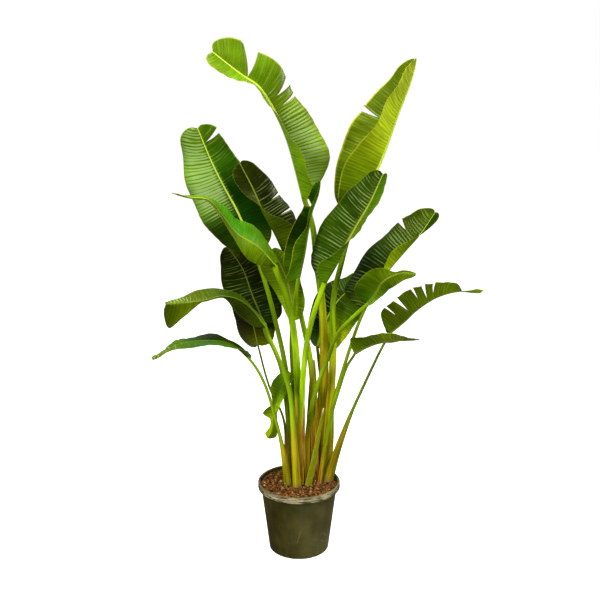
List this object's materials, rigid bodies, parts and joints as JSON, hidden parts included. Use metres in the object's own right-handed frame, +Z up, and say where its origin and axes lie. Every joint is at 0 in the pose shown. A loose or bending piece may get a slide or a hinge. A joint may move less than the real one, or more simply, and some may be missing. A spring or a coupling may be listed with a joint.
{
  "type": "potted bird of paradise",
  "caption": "Tall house plant with paddle leaves on long sheathed stalks, standing in soil in a round lipped nursery pot.",
  "frame": {"origin": "centre of the pot's underside", "axes": "+Z up, +Y away from the side that is seen in the picture, +X to the right"},
  "size_m": [1.2105, 0.61, 1.8933],
  "materials": {
    "leaf": "waxy green leaf",
    "old_sheath": "dry brown sheath",
    "soil": "damp bark chips",
    "pot": "worn olive plastic"
  },
  "bodies": {
    "root": {"pot": "pot", "soil": "soil", "old_sheath_front": "old_sheath", "old_sheath_pale": "old_sheath", "old_sheath_brown": "old_sheath", "old_sheath_green": "leaf", "old_sheath_centre": "old_sheath", "old_sheath_left": "old_sheath", "old_sheath_back": "old_sheath", "leaf_top_arch": "leaf", "leaf_top_right": "leaf", "leaf_big_left": "leaf", "leaf_whip": "leaf", "leaf_dark_left": "leaf", "leaf_folded": "leaf", "leaf_mid_right": "leaf", "leaf_low_right": "leaf", "leaf_right_curl": "leaf", "leaf_far_right": "leaf", "leaf_right_level": "leaf", "leaf_left_fold": "leaf", "leaf_left_low": "leaf", "leaf_back_left": "leaf", "leaf_back_low": "leaf", "leaf_back_centre": "leaf", "leaf_back_right": "leaf", "leaf_small_low": "leaf"}
  },
  "joints": []
}
